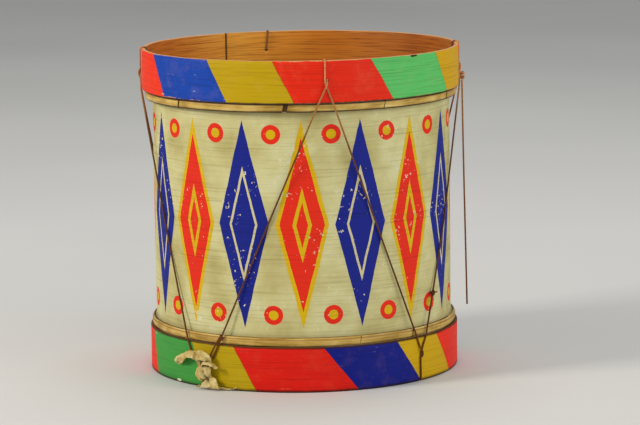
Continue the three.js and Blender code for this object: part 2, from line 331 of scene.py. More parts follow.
def makeTail(settings):
    low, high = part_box("cord_tail_knot")
    centre = (low + high) / 2 / mm
    radius = math.hypot(centre.x, centre.y)
    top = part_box("cord_tail")[1].z / mm
    route = []
    for k in range(settings["steps"] + 1):
        share = k / settings["steps"]
        sway = settings["sway"] * math.sin(math.pi * 1.5 * share)
        drop = settings["length"] * share
        route.append(around(settings["angle"], radius + settings["lean"] * share, top - drop, sway))
    path = resample(route, twineSettings["step"])
    tail = addPiece("cord_tail_twine", *loft(twistRings(path, twineSettings)), [twine])

    # The knot: the same twine wrapped round its own stem
    knot = []
    half = (high.z - low.z) / 2 / mm - twineSettings["radius"]
    close = settings["knotClose"]
    for share in np.linspace(0, 1, settings["knotSteps"]):
        turn = 2 * math.pi * settings["knotWraps"] * share
        reach = settings["knotReach"] * math.sin(math.pi * (close + (1 - 2 * close) * share)) ** 0.5
        rise = half * math.cos(math.pi * share)
        out, side = reach * math.cos(turn), reach * math.sin(turn)
        knot.append(around(settings["angle"], radius + out, centre.z + rise, side))
    knotRings = twistRings(resample(knot, twineSettings["fineStep"]), twineSettings)
    wraps = addPiece("cord_tail_wraps", *loft(knotRings), [twine])
    fit(wraps, "top_hoop_set", "twine", "cord_tail_knot")
    fit(tail, "top_hoop_set", "twine", "cord_tail")


makeTail(tailSettings)
print("camera and hanging cord made")


# Patterns that several finishes share

def grainLines(add, place, length, width, detail, roughness=0.5):
    # noise drawn out level, in streaks of about this length and width
    drawn = add("Mapping", place, {"Scale": (per(length), per(length), per(width))})
    return add("TexNoise", {"Vector": drawn, "Scale": 1.0, "Detail": detail, "Roughness": roughness})


def evenly(add, first, second):
    both = add("Math.ADD", first, second)
    return add("Math.MULTIPLY", both, 0.5)


def apart(add, value, centre):
    off = add("Math.ADD", value, -centre)
    return add("Math.ABSOLUTE", off)


def turnAndHeight(add, place):
    # the angle in radians, counted as around does, and the height
    x, y, z = add("SeparateXYZ", place).node.outputs
    back = add("Math.MULTIPLY", y, -1.0)
    return add("Math.ARCTAN2", x, back), z


# Bare wood

lathSettings = {
    "rubbedEdge": "#dca66c",
    # painted shade on the lower hoop's edges, next to the flesh ring and the floor
    "shadedEdge": "#3a2210",
    "lapAngle": 209.6,  # where the inner end of the upper hoop's lap shows
    "lapLine": (0.003, 0.008),  # half width of its dark line, a painted shadow, without and with the soft edge, in radians
}


def makeBareLath(name, edgeColour, lapAngle=None):
    # steam-bent ash lath, planed and shellacked long ago: warm orange brown, long fine grain,
    # edges rubbed pale, and on the lower hoop darkened with painted shade instead
    finish, add, place = newFinish(name)
    grain = grainLines(add, place, length=90, width=2.2, detail=4, roughness=0.6)
    pores = grainLines(add, place, length=40, width=0.7, detail=2)
    cloud = add("TexNoise", {"Vector": place, "Scale": per(60), "Detail": 2})
    wood = add("ValToRGB", evenly(add, grain, cloud), stops=[
        (0.3, "#8c4c0e"), (0.44, "#b66e1e"), (0.55, "#c8802c"), (0.68, "#dca04c"),
    ])

    # Painted light and shade from one side of the drum to the other: lightest left of the middle, darkest at
    # the right
    aside = add("SeparateXYZ", place, out=0)
    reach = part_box("top_counter_hoop")[1].x
    aside = add("MapRange", aside, -reach, reach)
    tone = add("ValToRGB", aside, stops=[
        (0.08, "#b25810"), (0.3, "#f0b03a"), (0.42, "#d08c28"), (0.56, "#b46a0c"), (0.86, "#8a3e02"),
    ])
    wood = add("Mix", {0: 0.6, 6: wood, 7: tone}, **colourMix)
    streak = add("ValToRGB", pores, stops=[(0.34, "#8d6a4a"), (0.5, "#ffffff")])
    wood = add("Mix", {0: 0.7, 6: wood, 7: streak}, **colourMix, blend_type="MULTIPLY")

    # Edges are the faces that look up or down; they take the edge colour, rubbed wood on the upper hoop and
    # shell, painted shade on the lower hoop
    facing = add("NewGeometry", out="Normal")
    level = add("SeparateXYZ", facing, out=2)
    edge = add("Math.ABSOLUTE", level)
    rubAndShade = add("MapRange", edge, 0.35, 0.9, 0.0, 0.72)
    wood = add("Mix", {0: rubAndShade, 6: wood, 7: edgeColour}, **colourMix)
    # Painted shadow: a dark line where the inner end of the lap shows
    if lapAngle is not None:
        turn, _ = turnAndHeight(add, place)
        away = apart(add, turn, math.radians(lapAngle - 360))
        paintedShade = add("MapRange", away, *lathSettings["lapLine"], 0.85, 0.0)
        wood = add("Mix", {0: paintedShade, 6: wood, 7: "#2c1505"}, **colourMix)
    coat(add, {"Base Color": wood, "Roughness": 0.55, "Specular IOR Level": 0.25}, pores, 0.05)
    return finish


bareLath = makeBareLath("shellacked ash lath", lathSettings["rubbedEdge"])
lappedLath = makeBareLath("shellacked ash lath, lapped", lathSettings["rubbedEdge"], lathSettings["lapAngle"])
# for the lower hoop, with painted shade on its edges
shadedLath = makeBareLath("shellacked ash lath, shaded edges", lathSettings["shadedEdge"])


def makeFleshWood():
    # split willow hoop, left raw and gone brown: dull and dark all over, so that it also stands for the shade
    # seen through the skin's tears
    finish, add, place = newFinish("split willow")
    grain = grainLines(add, place, length=30, width=0.8, detail=4)
    colour = add("ValToRGB", grain, stops=[(0.3, "#2b1a0a"), (0.5, "#4b2f14"), (0.7, "#6c4820")])
    coat(add, {"Base Color": colour, "Roughness": 0.85}, grain, 0.15)
    return finish


fleshWood = makeFleshWood()


# Painted stripes on the counter hoops

topStripes = {
    # degrees where each stripe starts along the upper edge and the lower edge
    "stripes": [
        (-65.2, -57.2, "#0d42aa"), (-34.8, -26.9, "#bc9d00"), (-10.1, -2.4, "#e42708"),
        (24.9, 34.2, "#5abf64"), (55.8, 64.8, "#cea000"), (82.0, 90.0, "#ee320e"),
    ],
    "wear": 0.3,  # how readily the paint has rubbed off along the edges
    "edgeShade": {"lower": 1.0},  # how far painted shade reaches from an edge
    "fade": 0.1,  # depth of the pale patches
    "fadeColour": "#d8a878",
    "chips": [  # angle, height, width and colour of the larger chips
        (43.6, 289.3, 8.0, "#2c1808"), (-18.0, 289.5, 3.0, "#c98c50"), (-40.0, 276.0, 2.0, "#5f8cc4"),
        (-40.5, 261.5, 2.6, "#7aa0ca"), (-58.0, 256.0, 4.0, "#c9a27a"), (148.0, 289.4, 4.5, "#2c1808"),
        (236.0, 255.0, 4.0, "#cfa070"),
    ],
}
bottomStripes = {
    "stripes": [
        (-75.6, -70.4, "#409840"), (-45.6, -40.4, "#b69c00"), (-26.9, -17.6, "#d81808"),
        (6.6, 19.8, "#03147e"), (35.4, 47.2, "#c8a200"), (56.8, 68.2, "#e8280e"),
    ],
    "wear": 0.08,
    # painted shade next to the flesh ring and along the foot
    "edgeShade": {"upper": 1.9, "lower": 3.2},
    "fade": 0.08,
    "fadeColour": "#c89a60",
    "chips": [
        (-53.3, 2.2, 6.0, "#dcd8bc"), (-72.0, 37.0, 4.0, "#caa078"), (112.0, 1.4, 5.0, "#c89058"),
        (165.0, 38.6, 4.5, "#caa078"), (250.0, 3.0, 5.0, "#d0b48c"),
    ],
}
brushSettings = {
    "waver": 0.007,  # how far a stripe's edge strays, in radians
    "line": 0.11,  # half width of the dark line where two colours meet, in degrees
    "lineDepth": 0.45,
    "lineColour": "#3a3010",
    "wornWithin": 2.2,  # wear starts this far inside an edge and would be full this far past it
    "wornPast": 0.3,
    "bareColour": "#d79a63",
    "edgeShadeStray": 1.6,  # how far the painted shade's own border strays
    "edgeShadeFull": 0.3,  # share of the painted shade's width where it is darkest
    "edgeShadeDepth": 0.92,
    "edgeShadeColour": "#241006",
    "chipFlat": 2.6,  # how much wider than high a chip is
    "chipStray": 0.9,  # how far its outline strays, as a share of its width
}


def makePaintedLath(name, node, settings):
    # old oil paint brushed over an ash lath: flat stripes, brush and grain lines showing through,
    # worn at the edges
    brush = brushSettings
    finish, add, place = newFinish(name)
    radius, base, top = ringSize(node)
    angle, z = turnAndHeight(add, place)
    down = add("MapRange", z, top * mm, base * mm)
    waver = add("TexNoise", {"Vector": place, "Scale": per(16), "Detail": 3})
    waver = add("Math.MULTIPLY_ADD", waver, 2 * brush["waver"], -brush["waver"])
    turn = add("Math.ADD", angle, waver)

    # The set of stripes repeats twice round; each boundary is told from the first one
    (topFirst, bottomFirst, paint), *others = settings["stripes"]
    turn = add("Math.MULTIPLY_ADD", down, -math.radians(bottomFirst - topFirst), turn)
    turn = add("Math.ADD", turn, -math.radians(topFirst))
    turn = add("Math.MULTIPLY", turn, 1 / math.pi)
    phase = add("Math.FRACT", turn)
    for topAngle, bottomAngle, tint in others:
        begin = (topAngle - topFirst) / 180
        shift = (bottomAngle - topAngle - bottomFirst + topFirst) / 180
        here = add("Math.MULTIPLY_ADD", down, -shift, phase)
        past = add("Math.GREATER_THAN", here, begin)
        paint = add("Mix", {0: past, 6: paint, 7: tint}, **colourMix)
        line = add("Math.COMPARE", here, begin, brush["line"] / 180)
        line = add("Math.MULTIPLY", line, brush["lineDepth"])
        paint = add("Mix", {0: line, 6: paint, 7: brush["lineColour"]}, **colourMix)

    # Wood grain telegraphing through the paint, and patches where it has thinned
    grain = grainLines(add, place, length=55, width=0.9, detail=3, roughness=0.6)
    cloud = add("TexNoise", {"Vector": place, "Scale": per(15), "Detail": 5, "Roughness": 0.65})
    lines = add("ValToRGB", grain, stops=[(0.3, "#bcb0a4"), (0.5, "#ffffff")])
    paint = add("Mix", {0: 0.5, 6: paint, 7: lines}, **colourMix, blend_type="MULTIPLY")
    pale = add("MapRange", cloud, 0.5, 0.8, 0.0, settings["fade"])
    paint = add("Mix", {0: pale, 6: paint, 7: settings["fadeColour"]}, **colourMix)

    # Bare wood where the rims and raised grain have rubbed through
    fromMiddle = apart(add, z, (base + top) / 2 * mm)
    half = (top - base) / 2
    wornFrom, wornTo = half - brush["wornWithin"], half + brush["wornPast"]
    rim = add("MapRange", fromMiddle, wornFrom * mm, wornTo * mm, 0.0, settings["wear"])
    worn = add("Math.ADD", grain, rim)
    chip = add("TexNoise", {"Vector": place, "Scale": per(5), "Detail": 5, "Roughness": 0.65})
    worn = add("Math.MULTIPLY_ADD", chip, 0.4, worn)
    worn = add("MapRange", worn, 0.93, 0.97)
    colour = add("Mix", {0: worn, 6: paint, 7: brush["bareColour"]}, **colourMix)

    # Painted shade along the edges, where the hoop meets the flesh ring and the floor, then the larger chips
    ragged = add("Math.MULTIPLY_ADD", cloud, brush["edgeShadeStray"] * mm, z)
    rims = {"upper": (top, -1), "lower": (base, 1)}
    for rimName, width in settings["edgeShade"].items():
        level, inward = rims[rimName]
        level += brush["edgeShadeStray"] / 2
        noShade, fullShade = level + inward * width, level + inward * width * brush["edgeShadeFull"]
        edgeShade = add("MapRange", ragged, noShade * mm, fullShade * mm, 0.0, brush["edgeShadeDepth"])
        colour = add("Mix", {0: edgeShade, 6: colour, 7: brush["edgeShadeColour"]}, **colourMix)
    for chipAngle, chipHeight, width, tint in settings["chips"]:
        stray = width * brush["chipStray"]
        off = add("VectorMath.SUBTRACT", place, around(chipAngle, radius, chipHeight) * mm)
        off = add("VectorMath.MULTIPLY", off, (1, 1, brush["chipFlat"]))
        off = add("VectorMath.LENGTH", off, out="Value")
        off = add("Math.MULTIPLY_ADD", chip, stray * mm, off)
        gone = add("MapRange", off, stray * mm, width * mm, 0.95, 0.0)
        colour = add("Mix", {0: gone, 6: colour, 7: tint}, **colourMix)
    rough = add("MapRange", cloud, 0.3, 0.7, 0.48, 0.62)
    coat(add, {"Base Color": colour, "Roughness": rough, "Specular IOR Level": 0.16}, grain, 0.06)
    return finish


topPaint = makePaintedLath("brushed oil paint, upper", "top_counter_hoop", topStripes)
bottomPaint = makePaintedLath("brushed oil paint, lower", "bottom_counter_hoop", bottomStripes)


# Printed pattern on the shell

shellPrint = {
    "pairs": 8,  # a red and a blue lozenge in each
    "turn": 0.5,
    "halfWidth": 23.5,
    "halfHeight": 91.0,
    "redLayers": [(1.0, "#d2ae08"), (0.84, "#e02a13"), (0.36, "#d2ae08"), (0.22, "#e02a13")],
    "blueLayers": [(1.0, "#101f86"), (0.56, "#cfc697"), (0.47, "#101f86")],
    "discRise": 79.0,
    "discLayers": [(8.5, "#e02a13"), (4.2, "#d2ae08")],
    "stray": 1.6,  # how far the printed edges stray
    "ringShadeWidth": 5.0,  # painted shade beside the skins' edges
}


def makeShellPaint(settings):
    # old casein paint printed on a thin bent board: dull cream ground, flat colours, fine level grain
    # and small chips
    finish, add, place = newFinish("printed casein paint")
    radius, _, _ = ringSize("shell")
    low, high = ringSize("resonant_head_tuck")[2], ringSize("batter_head_tuck")[1]
    angle, z = turnAndHeight(add, place)
    unsteady = add("TexNoise", {"Vector": place, "Scale": per(14), "Detail": 3})
    pairs = settings["pairs"]
    pairWidth = 2 * math.pi * radius / pairs
    cell = add("Math.MULTIPLY_ADD", angle, pairs / (2 * math.pi), settings["turn"])
    cell = add("Math.MULTIPLY_ADD", unsteady, settings["stray"] / pairWidth, cell)
    rise = apart(add, z, (low + high) / 2 * mm)

    ground = add("TexNoise", {"Vector": place, "Scale": per(45), "Detail": 5, "Roughness": 0.55})
    colour = add("ValToRGB", ground, stops=[
        (0.3, "#aea366"), (0.45, "#c2ba80"), (0.58, "#cdc993"), (0.75, "#d1d1a9"),
    ])

    # Two rows of lozenges half a pair apart; each is layers of one diamond, from the outside in
    for offset, layers in ((0.0, settings["redLayers"]), (0.5, settings["blueLayers"])):
        across = add("Math.ADD", cell, offset)
        across = add("Math.FRACT", across)
        across = apart(add, across, 0.5)
        wide = add("Math.MULTIPLY", across, pairWidth / settings["halfWidth"])
        diamond = add("Math.MULTIPLY_ADD", rise, per(settings["halfHeight"]), wide)
        for limit, tint in layers:
            inside = add("Math.LESS_THAN", diamond, limit)
            colour = add("Mix", {0: inside, 6: colour, 7: tint}, **colourMix)

    # A disc above and below each gap between lozenges
    twice = add("Math.MULTIPLY", cell, 2.0)
    twice = add("Math.FRACT", twice)
    aside = add("Math.MULTIPLY_ADD", twice, pairWidth / 2 * mm, -pairWidth / 4 * mm)
    above = add("Math.ADD", rise, -settings["discRise"] * mm)
    spot = add("CombineXYZ", aside, above)
    spot = add("VectorMath.LENGTH", spot, out="Value")
    for limit, tint in settings["discLayers"]:
        inside = add("Math.LESS_THAN", spot, limit * mm)
        colour = add("Mix", {0: inside, 6: colour, 7: tint}, **colourMix)

    # Level grain lines in the board, and chips down to the pale priming
    grain = grainLines(add, place, length=70, width=1.3, detail=3, roughness=0.6)
    lines = add("ValToRGB", grain, stops=[(0.28, "#b8b0a0"), (0.48, "#ffffff")])
    colour = add("Mix", {0: 0.5, 6: colour, 7: lines}, **colourMix, blend_type="MULTIPLY")
    chip = add("TexNoise", {"Vector": place, "Scale": per(3.2), "Detail": 4, "Roughness": 0.6})
    chip = add("Math.MULTIPLY_ADD", ground, 0.55, chip)
    chip = add("MapRange", chip, 0.945, 0.965)
    colour = add("Mix", {0: chip, 6: colour, 7: "#d9cfae"}, **colourMix)
    # Painted shade on the ground beside the flesh rings, at both ends of the shell
    half = (high - low) / 2
    ringShade = add("MapRange", rise, (half - settings["ringShadeWidth"]) * mm, half * mm, 0.0, 0.3)
    colour = add("Mix", {0: ringShade, 6: colour, 7: "#8f7840"}, **colourMix)
    coat(add, {"Base Color": colour, "Roughness": 0.6, "Specular IOR Level": 0.18}, grain, 0.05)
    return finish


shellPaint = makeShellPaint(shellPrint)


# Skin, hide and iron

ringSkins = {
    # how far painted shade reaches from the upper and the lower edge, and how far down a crease's painted
    # shade line runs
    "batter_head_tuck": {"shadeAbove": 1.8, "shadeBelow": 1.9, "crease": None},
    "resonant_head_tuck": {"shadeAbove": 0.2, "shadeBelow": 0.8, "crease": 1.9},
}
skinStray = 0.8  # how far that painted shade and crease line stray


def makeRingSkin(name, node):
    # calfskin shrunk dry round a hoop: straw colour, stretched streaks along the ring, painted shade
    # where it meets its neighbours
    settings = ringSkins[node]
    finish, add, place = newFinish(name)
    _, base, top = ringSize(node)
    streak = grainLines(add, place, length=26, width=1.6, detail=4, roughness=0.6)
    cloud = add("TexNoise", {"Vector": place, "Scale": per(18), "Detail": 3})
    colour = add("ValToRGB", evenly(add, streak, cloud), stops=[
        (0.32, "#80601e"), (0.44, "#ac8a3a"), (0.55, "#c8a856"), (0.68, "#dcc680"),
    ])
    z = add("SeparateXYZ", place, out=2)
    z = add("Math.MULTIPLY_ADD", cloud, skinStray * mm, z)
    base, top = base + skinStray / 2, top + skinStray / 2
    # A crease painted as a brown line of shade, not shaped
    if settings["crease"] is not None:
        off = apart(add, z, (top - settings["crease"]) * mm)
        fold = add("MapRange", off, 0.25 * mm, 0.8 * mm, 0.7, 0.0)
        colour = add("Mix", {0: fold, 6: colour, 7: "#86561a"}, **colourMix)
    # Painted shade along the upper and lower edges, where the ring meets its neighbours
    paintedShade = []
    for level, width in ((top, -settings["shadeAbove"]), (base, settings["shadeBelow"])):
        paintedShade.append(add("MapRange", z, (level + width) * mm, (level + width / 2) * mm, 0.0, 0.95))
    paintedShade = add("Math.MAXIMUM", *paintedShade)
    colour = add("Mix", {0: paintedShade, 6: colour, 7: "#33200a"}, **colourMix)
    coat(add, {"Base Color": colour, "Roughness": 0.5, "Specular IOR Level": 0.3}, streak, 0.1)
    return finish


def makeHeadSkin():
    # scraped calfskin drum head, dried tight: ivory with faint veins and brown age clouds, slightly waxy
    finish, add, place = newFinish("scraped calfskin head")
    cloud = add("TexNoise", {"Vector": place, "Scale": per(70), "Detail": 6, "Roughness": 0.6})
    colour = add("ValToRGB", cloud, stops=[
        (0.3, "#a98c55"), (0.45, "#cbb583"), (0.6, "#dccb9f"), (0.75, "#e3d6b2"),
    ])
    bent = add("TexNoise", {"Vector": place, "Scale": per(40), "Detail": 3}, out="Color")
    bent = add("VectorMath.SCALE", bent, {"Scale": 0.03})
    bent = add("VectorMath.ADD", bent, place)
    vein = add("TexVoronoi", {"Vector": bent, "Scale": per(48)}, feature="DISTANCE_TO_EDGE")
    vein = add("MapRange", vein, 0.0, 0.05, 0.1, 0.0)
    colour = add("Mix", {0: vein, 6: colour, 7: "#9a7440"}, **colourMix)
    pore = add("TexNoise", {"Vector": place, "Scale": per(1.5), "Detail": 2})
    speck = add("MapRange", pore, 0.62, 0.75, 0.0, 0.3)
    colour = add("Mix", {0: speck, 6: colour, 7: "#8b6a3a"}, **colourMix)
    coat(add, {
        "Base Color": colour, "Roughness": 0.42, "IOR": 1.5,
        "Subsurface Weight": 0.15, "Subsurface Radius": (0.003, 0.002, 0.001), "Subsurface Scale": 0.4,
    }, pore, 0.06)
    return finish


def makeIron():
    # hand-forged iron tack, blackened and rusting: dark, dull, with brown bloom in the hammer marks
    finish, add, place = newFinish("forged iron")
    bloom = add("TexNoise", {"Vector": place, "Scale": per(0.9), "Detail": 4})
    colour = add("ValToRGB", bloom, stops=[(0.4, "#4a4542"), (0.55, "#5b4a3e"), (0.68, "#6e4526")])
    metal = add("MapRange", bloom, 0.45, 0.65, 0.95, 0.2)
    rough = add("MapRange", bloom, 0.35, 0.65, 0.35, 0.8)
    coat(add, {"Base Color": colour, "Metallic": metal, "Roughness": rough}, bloom, 0.08)
    return finish


def makeHide():
    # strip of untanned hide, wetted, knotted and dried hard: cream with yellow horn edges and
    # painted shade in its creases
    finish, add, place = newFinish("dried rawhide")
    cloud = add("TexNoise", {"Vector": place, "Scale": per(9), "Detail": 4, "Roughness": 0.55})
    colour = add("ValToRGB", cloud, stops=[
        (0.28, "#8f7238"), (0.42, "#bfa45c"), (0.55, "#d4c17e"), (0.72, "#e4d7a2"),
    ])
    grit = add("TexNoise", {"Vector": place, "Scale": per(0.9), "Detail": 3})
    speck = add("ValToRGB", grit, stops=[(0.3, "#9b8460"), (0.5, "#ffffff")])
    colour = add("Mix", {0: 0.25, 6: colour, 7: speck}, **colourMix, blend_type="MULTIPLY")
    # Painted shade: darker where the hide is hemmed in by its own folds
    creviceShade = add("AmbientOcclusion", {"Distance": 5 * mm}, out="AO", samples=8)
    creviceShade = add("MapRange", creviceShade, 0.4, 0.92, 0.85, 0.0)
    colour = add("Mix", {0: creviceShade, 6: colour, 7: "#3b2a12"}, **colourMix)
    coat(add, {"Base Color": colour, "Roughness": 0.6, "Specular IOR Level": 0.35}, grit, 0.1)
    return finish


topRingSkin = makeRingSkin("shrunk calfskin, upper", "batter_head_tuck")
bottomRingSkin = makeRingSkin("shrunk calfskin, lower", "resonant_head_tuck")
headSkin = makeHeadSkin()
iron = makeIron()
hide = makeHide()
print("finishes made")


# Strips of wood bent into rings, their tapered ends lapped at a seam

stripSettings = {
    "scarf": 26.0,  # length of the taper at each end
    "feather": 0.5,  # thickness at its tip
    "slip": 0.3,  # room between the lapped ends
    "steps": 420,
    "cornerSteps": 4,
    "cornerLimit": 0.42,  # largest rounding, as a share of the thickness
    "bowWaves": 2,  # how quickly the warp changes round the ring, and the wear of its upper half
    "wearWaves": 6,
}
boardStrip = {"thickness": 3.2, "seam": 172, "corner": 0.5, "rows": 12, "warp": 0.1}
lathStrip = {"thickness": 3.7, "corner": 0.9, "rows": 6, "warp": 0.2}
topStrip = {**lathStrip, "seam": 199.3, "holeInset": 17.5, "groove": 0.8}
bottomStrip = {**lathStrip, "seam": 150, "holeInset": 21.3, "groove": 2.3}


def stripSection(inner, outer, base, top, corner, rows):
    # a closed outline: up the outside, over the top, down the inside and back
    c = min(corner, stripSettings["cornerLimit"] * (outer - inner))
    bends = np.linspace(0, math.pi / 2, stripSettings["cornerSteps"])
    levels = np.linspace(base + c, top - c, rows + 1)
    section = [(outer, z) for z in levels]
    section += [(outer - c + c * math.cos(t), top - c + c * math.sin(t)) for t in bends[1:]]
    section += [(inner + c - c * math.sin(t), top - c + c * math.cos(t)) for t in bends]
    section += [(inner, z) for z in levels[::-1][1:]]
    section += [(inner + c - c * math.cos(t), base + c - c * math.sin(t)) for t in bends[1:]]
    section += [(outer - c + c * math.sin(t), base + c - c * math.cos(t)) for t in bends[:-1]]
    return section


def bentStrip(name, node, settings, finishes):
    # finishes are the outside's and the rest's
    outer, base, top = ringSize(node)
    thickness, seam, warp, rows = (settings[key] for key in ("thickness", "seam", "warp", "rows"))
    inner = outer - thickness
    scarf, feather = math.degrees(stripSettings["scarf"] / outer), stripSettings["feather"]
    bowWaves, wearWaves = stripSettings["bowWaves"], stripSettings["wearWaves"]
    opening = scarf * (feather + stripSettings["slip"]) / (thickness - feather)
    start, lap, stop = seam + opening, seam + 360, seam + 360 + scarf
    rings = []
    for angle in np.linspace(start, stop, stripSettings["steps"]):
        outside = np.interp(angle, (lap, stop), (outer, inner + feather))
        within = np.interp(angle, (start, start + scarf), (outer - feather, inner))
        compass = np.array((math.cos(math.radians(angle)), math.sin(math.radians(angle))))
        ring = []
        for radius, z in stripSection(within, outside, base, top, settings["corner"], rows):
            share = (z - base) / (top - base)
            bow = warp * wander(3, *(compass * bowWaves), share * bowWaves)
            wear = warp * wander(5, *(compass * wearWaves), share) - warp if share > 0.5 else 0.0
            ring.append(around(angle, radius + bow, z + wear * share))
        rings.append(ring)
    points, faces = loft(rings)
    across = len(rings[0])
    painted = rows + stripSettings["cornerSteps"] // 2
    lowCorner = across - stripSettings["cornerSteps"] // 2
    faceFinish = [0 if k % across < painted or k % across >= lowCorner else 1 for k in range(len(faces))]
    faceFinish[-2:] = [1, 1]  # the strip's two ends
    return addPiece(name, points, faces, finishes, faceFinish)


lacing = {
    "top": (8.6, tailSettings["angle"], 192.7, 272.5),  # angles of the lacing points
    "bottom": (47.0, 140.5, 230.0),
    "tie": 319.7,
    "leftEnd": (314.6, 31.0),  # angle and height of the cord's ends, beside the hide tie
    "rightEnd": (325.0, 26.6),
    "reach": 1.15,  # from a surface to the middle of the cord on it
    "holeSide": 0.9,  # how far the cord lies beside a lacing point: in the hole, below it and on the rim
    "stemSide": 0.9,
    "rimSide": 0.8,
    "crossGap": -0.1,  # between the two strands where they cross
    "crossDrop": 4.6,  # from the hole to the crossing, and to where the strands have parted
    "fanDrop": 10.0,
    "fanSide": 2.2,
    "holeRadius": 1.45,
    "holeSides": 20,
    "drillPast": 2.0,  # how far the drill passes the hoop's faces
    "wrapStep": 4.0,
    "relaxRounds": 3,
}


def hoopSizes(node, up, strip):
    # up is 1 where the hoop's free rim is above its edge at the shell, or -1
    outer, base, top = ringSize(node)
    rim, edge = (top, base) if up > 0 else (base, top)
    return {
        "up": up, "outer": outer, "inner": outer - strip["thickness"], "rim": rim, "edge": edge,
        "hole": rim - up * strip["holeInset"], "holeInset": strip["holeInset"], "groove": strip["groove"],
    }


upper = hoopSizes("top_counter_hoop", 1, topStrip)
lower = hoopSizes("bottom_counter_hoop", -1, bottomStrip)


def drillLacing(hoop, sizes, angles):
    # a round hole and a rounded rim groove at each lacing point
    radius, past = lacing["holeRadius"], lacing["drillPast"]
    depths = (sizes["inner"] - past, sizes["outer"] + past)
    turns = np.linspace(0, 2 * math.pi, lacing["holeSides"], endpoint=False)
    openings = (
        (lacing["holeSide"], sizes["hole"], radius),
        (-lacing["rimSide"], sizes["rim"], sizes["groove"]),
    )
    drills = []
    for angle in angles:
        for side, height, tall in openings:
            outline = [(side + radius * math.cos(t), height + tall * math.sin(t)) for t in turns]
            drills.append(loft([[around(angle, depth, z, x) for x, z in outline] for depth in depths]))
    points, faces = joined(drills)
    cutter = addPiece("cutter", points, faces, [bareLath, bareLath], [1] * len(faces))
    boolean = hoop.modifiers.new("lacing", "BOOLEAN")
    boolean.operation, boolean.solver, boolean.object = "DIFFERENCE", "EXACT", cutter
    bpy.context.view_layer.update()
    cut = bpy.data.meshes.new_from_object(hoop.evaluated_get(bpy.context.evaluated_depsgraph_get()))
    hoop.modifiers.clear()
    hoop.data = cut
    bpy.data.objects.remove(cutter)


shellStrip = bentStrip("shell_board", "shell", boardStrip, [shellPaint, bareLath])
fit(shellStrip, "drum_shell", "painted_shell", "shell")
topHoop = bentStrip("top_hoop_lath", "top_counter_hoop", topStrip, [topPaint, lappedLath])
drillLacing(topHoop, upper, lacing["top"])
fit(topHoop, "top_hoop_set", "painted_lath", "top_counter_hoop")
bottomHoop = bentStrip("bottom_hoop_lath", "bottom_counter_hoop", bottomStrip, [bottomPaint, shadedLath])
drillLacing(bottomHoop, lower, (*lacing["bottom"], lacing["tie"]))
fit(bottomHoop, "bottom_hoop_set", "painted_lath", "bottom_counter_hoop")
print("shell and counter hoops made")


# Heads: a skin over each end of the shell, with a collar that runs inside its flesh hoop

headSettings = {
    "thickness": 0.5,
    "lip": 1.3,  # rounding over the shell's edge
    "sag": 0.7,
    "pucker": 0.18,  # height of the small folds near the edge
    "puckers": 46,
    "puckerFrom": 0.86,  # where they begin, as a share of the radius
    "middle": 2.0,  # radius of the innermost circle
    "circles": 26,
    "lipSteps": 6,
    "facets": 240,
}


def makeHead(name, node, up, settings):
    # circles run from the middle outwards over the shell's edge and down the collar, then back underneath
    outer, base, top = ringSize(node)
    thickness, lip, puckerFrom = (settings[key] for key in ("thickness", "lip", "puckerFrom"))
    face = top if up > 0 else base
    inner, flat, under, collar = outer - thickness, outer - lip, lip - thickness, top - base
    bends = np.linspace(0, math.pi / 2, settings["lipSteps"])
    spread = np.linspace(settings["middle"], flat, settings["circles"])
    profile = [(r, 0.0) for r in spread]
    profile += [(flat + lip * math.sin(t), lip * (1 - math.cos(t))) for t in bends[1:]]
    profile += [(outer, collar), (inner, collar)]
    profile += [(flat + under * math.sin(t), lip - under * math.cos(t)) for t in bends[::-1]]
    profile += [(r, thickness) for r in spread[::-1]]
    rings = []
    for k in range(settings["facets"]):
        angle = 360 * k / settings["facets"]
        wave = settings["pucker"] * math.sin(math.radians(angle) * settings["puckers"])
        ring = []
        for radius, depth in profile:
            share = min(1, radius / flat)
            dip = settings["sag"] * (1 - share ** 2) if radius < inner else 0.0
            fold = wave * max(0, share - puckerFrom) / (1 - puckerFrom) * (share < 1)
            ring.append(around(angle, radius, face - up * (depth + dip + fold)))
        rings.append(ring)
    points, faces = loft(rings, closed=True)
    across = len(profile)
    # leave the middle open, then close it above and below
    faces = [f for k, f in enumerate(faces) if k % across != across - 1]
    faces += [tuple(range(first, len(points), across)) for first in (0, across - 1)]
    return addPiece(name, points, faces, [headSkin])


fit(makeHead("batter_skin", "batter_head", 1, headSettings), "drum_shell", "skin", "batter_head")
fit(makeHead("resonant_skin", "resonant_head", -1, headSettings), "drum_shell", "skin", "resonant_head")


# Flesh hoops with the skins' edges shrunk round them, split where the skin has torn

